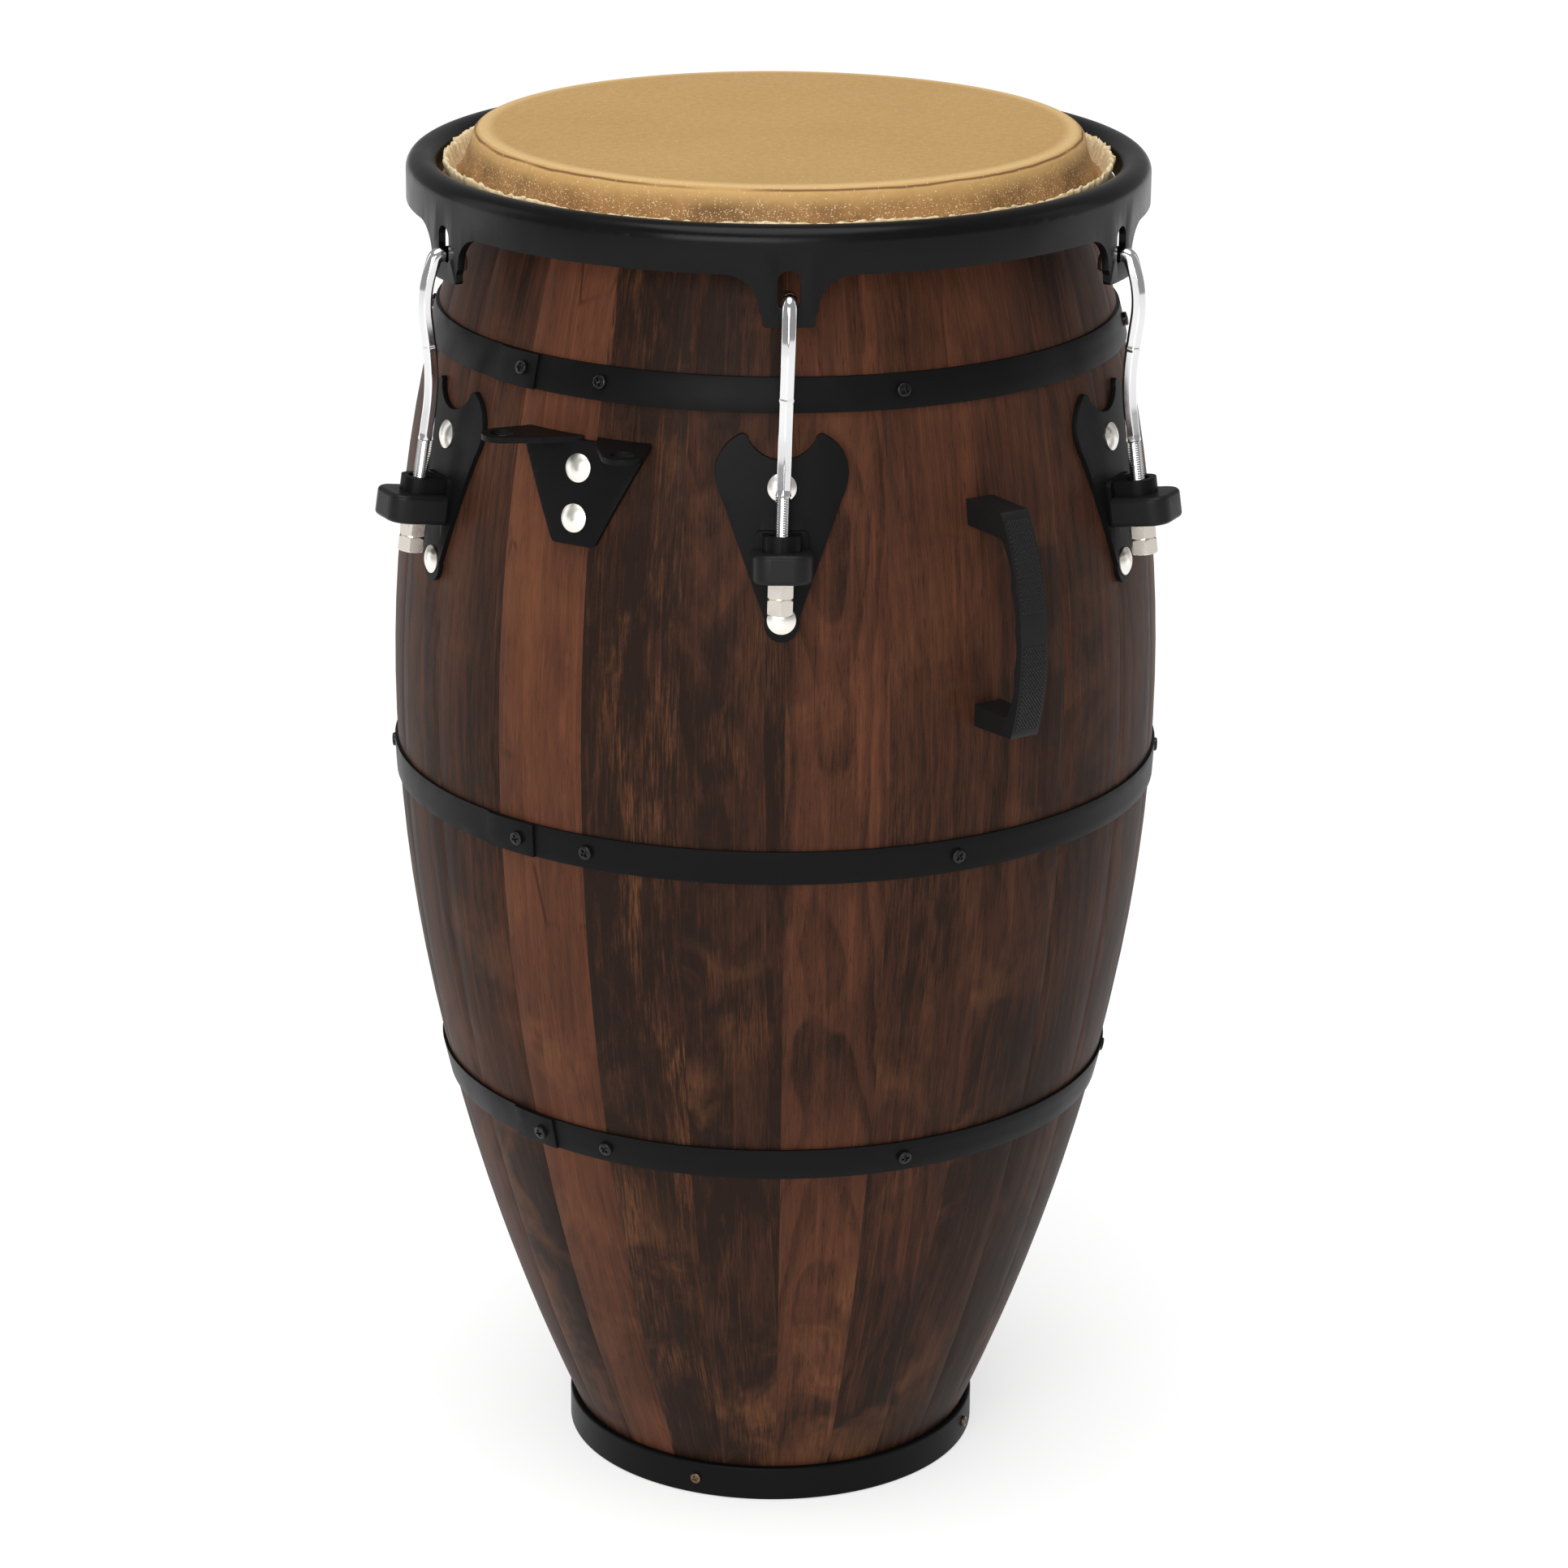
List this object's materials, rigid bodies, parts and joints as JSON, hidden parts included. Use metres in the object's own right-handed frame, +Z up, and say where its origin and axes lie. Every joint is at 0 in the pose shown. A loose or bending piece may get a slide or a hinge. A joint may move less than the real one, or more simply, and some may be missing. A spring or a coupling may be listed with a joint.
{
  "type": "conga drum",
  "caption": "Tall barrel-shaped hand drum with stained wood staves, black steel bands and rim, hide head, hook-and-nut tuning, side handle and accessory bracket.",
  "frame": {"origin": "centre of the foot, on the floor plane", "axes": "+Z up along the drum's axis to the head, -Y to the front of the drum, +X to its right"},
  "size_m": [0.4312, 0.4776, 0.7647],
  "materials": {
    "stave_wood": "walnut-stained hardwood staves, satin lacquer",
    "black_steel": "satin black powder coat on steel",
    "black_screw": "black oxide pan-head screws",
    "brass_screw": "darkened brass-coloured screws",
    "head_hide": "golden tan drum head with pressed fibres",
    "zinc_steel": "zinc-plated steel, mostly out of sight",
    "chrome_steel": "bright chrome plate on the tuning hooks",
    "nickel_steel": "warm nickel plate on nuts and bolt heads",
    "boot_rubber": "soft black rubber boots round the lug receivers",
    "handle_plastic": "moulded black handle with two knurled panels"
  },
  "bodies": {
    "drum": {"stave_01": "stave_wood", "stave_02": "stave_wood", "stave_03": "stave_wood", "stave_04": "stave_wood", "stave_05": "stave_wood", "stave_06": "stave_wood", "stave_07": "stave_wood", "stave_08": "stave_wood", "stave_09": "stave_wood", "stave_10": "stave_wood", "stave_11": "stave_wood", "stave_12": "stave_wood", "stave_13": "stave_wood", "stave_14": "stave_wood", "stave_15": "stave_wood", "stave_16": "stave_wood", "stave_17": "stave_wood", "stave_18": "stave_wood", "stave_19": "stave_wood", "stave_20": "stave_wood", "stave_21": "stave_wood", "stave_22": "stave_wood", "stave_23": "stave_wood", "stave_24": "stave_wood", "upper_band": "black_steel", "middle_band": "black_steel", "lower_band": "black_steel", "foot_band": "black_steel", "head_skin": "head_hide", "flesh_hoop": "zinc_steel", "lug_plate_1": "black_steel", "lug_plate_2": "black_steel", "lug_plate_3": "black_steel", "lug_plate_4": "black_steel", "lug_plate_5": "black_steel", "lug_plate_6": "black_steel", "lug_boots": "boot_rubber", "accessory_bracket": "black_steel", "side_handle": "handle_plastic", "carriage_bolts": "nickel_steel", "bolt_washers": "zinc_steel", "bolt_nuts": "zinc_steel", "band_screws": "black_screw", "foot_screws": "brass_screw", "handle_screws": "zinc_steel"},
    "rim": {"tension_rim": "black_steel"},
    "hook_1": {"tuning_hook_1": "chrome_steel"},
    "nut_1": {"tuning_nut_1": "nickel_steel"},
    "hook_2": {"tuning_hook_2": "chrome_steel"},
    "nut_2": {"tuning_nut_2": "nickel_steel"},
    "hook_3": {"tuning_hook_3": "chrome_steel"},
    "nut_3": {"tuning_nut_3": "nickel_steel"},
    "hook_4": {"tuning_hook_4": "chrome_steel"},
    "nut_4": {"tuning_nut_4": "nickel_steel"},
    "hook_5": {"tuning_hook_5": "chrome_steel"},
    "nut_5": {"tuning_nut_5": "nickel_steel"},
    "hook_6": {"tuning_hook_6": "chrome_steel"},
    "nut_6": {"tuning_nut_6": "nickel_steel"}
  },
  "joints": [
    {"name": "rim_slide", "type": "slide", "parent": "drum", "child": "rim", "axis": [0, 0, 1], "range_m": [0, 0.008]},
    {"name": "hook_1_slide", "type": "slide", "parent": "drum", "child": "hook_1", "axis": [0.0237, 0.1533, 0.9879], "range_m": [0, 0.00811]},
    {"name": "nut_1_turn", "type": "hinge", "parent": "drum", "child": "nut_1", "pos_m": [0.00246, -0.21929, 0.57281], "axis": [0.0237, 0.1533, 0.9879], "range_deg": [-2336.9, 0]},
    {"name": "hook_2_slide", "type": "slide", "parent": "drum", "child": "hook_2", "axis": [-0.1242, 0.0929, 0.9879], "range_m": [0, 0.00811]},
    {"name": "nut_2_turn", "type": "hinge", "parent": "drum", "child": "nut_2", "pos_m": [0.19477, -0.10078, 0.57281], "axis": [-0.1242, 0.0929, 0.9879], "range_deg": [-2336.9, 0]},
    {"name": "hook_3_slide", "type": "slide", "parent": "drum", "child": "hook_3", "axis": [-0.1404, -0.0661, 0.9879], "range_m": [0, 0.00811]},
    {"name": "nut_3_turn", "type": "hinge", "parent": "drum", "child": "nut_3", "pos_m": [0.18043, 0.12466, 0.57281], "axis": [-0.1404, -0.0661, 0.9879], "range_deg": [-2336.9, 0]},
    {"name": "hook_4_slide", "type": "slide", "parent": "drum", "child": "hook_4", "axis": [-0.0237, -0.1533, 0.9879], "range_m": [0, 0.00811]},
    {"name": "nut_4_turn", "type": "hinge", "parent": "drum", "child": "nut_4", "pos_m": [-0.00246, 0.21929, 0.57281], "axis": [-0.0237, -0.1533, 0.9879], "range_deg": [-2336.9, 0]},
    {"name": "hook_5_slide", "type": "slide", "parent": "drum", "child": "hook_5", "axis": [0.1138, -0.1054, 0.9879], "range_m": [0, 0.00811]},
    {"name": "nut_5_turn", "type": "hinge", "parent": "drum", "child": "nut_5", "pos_m": [-0.18317, 0.12059, 0.57281], "axis": [0.1138, -0.1054, 0.9879], "range_deg": [-2336.9, 0]},
    {"name": "hook_6_slide", "type": "slide", "parent": "drum", "child": "hook_6", "axis": [0.1465, 0.051, 0.9879], "range_m": [0, 0.00811]},
    {"name": "nut_6_turn", "type": "hinge", "parent": "drum", "child": "nut_6", "pos_m": [-0.19247, -0.10512, 0.57281], "axis": [0.1465, 0.051, 0.9879], "range_deg": [-2336.9, 0]}
  ],
  "couplings": [
    {"joint": "hook_1_slide", "follows": "rim_slide", "ratio": 1.0123},
    {"joint": "nut_1_turn", "follows": "rim_slide", "rad_per_m": -5088.2},
    {"joint": "hook_2_slide", "follows": "rim_slide", "ratio": 1.0123},
    {"joint": "nut_2_turn", "follows": "rim_slide", "rad_per_m": -5088.2},
    {"joint": "hook_3_slide", "follows": "rim_slide", "ratio": 1.0123},
    {"joint": "nut_3_turn", "follows": "rim_slide", "rad_per_m": -5088.2},
    {"joint": "hook_4_slide", "follows": "rim_slide", "ratio": 1.0123},
    {"joint": "nut_4_turn", "follows": "rim_slide", "rad_per_m": -5088.2},
    {"joint": "hook_5_slide", "follows": "rim_slide", "ratio": 1.0123},
    {"joint": "nut_5_turn", "follows": "rim_slide", "rad_per_m": -5088.2},
    {"joint": "hook_6_slide", "follows": "rim_slide", "ratio": 1.0123},
    {"joint": "nut_6_turn", "follows": "rim_slide", "rad_per_m": -5088.2}
  ]
}
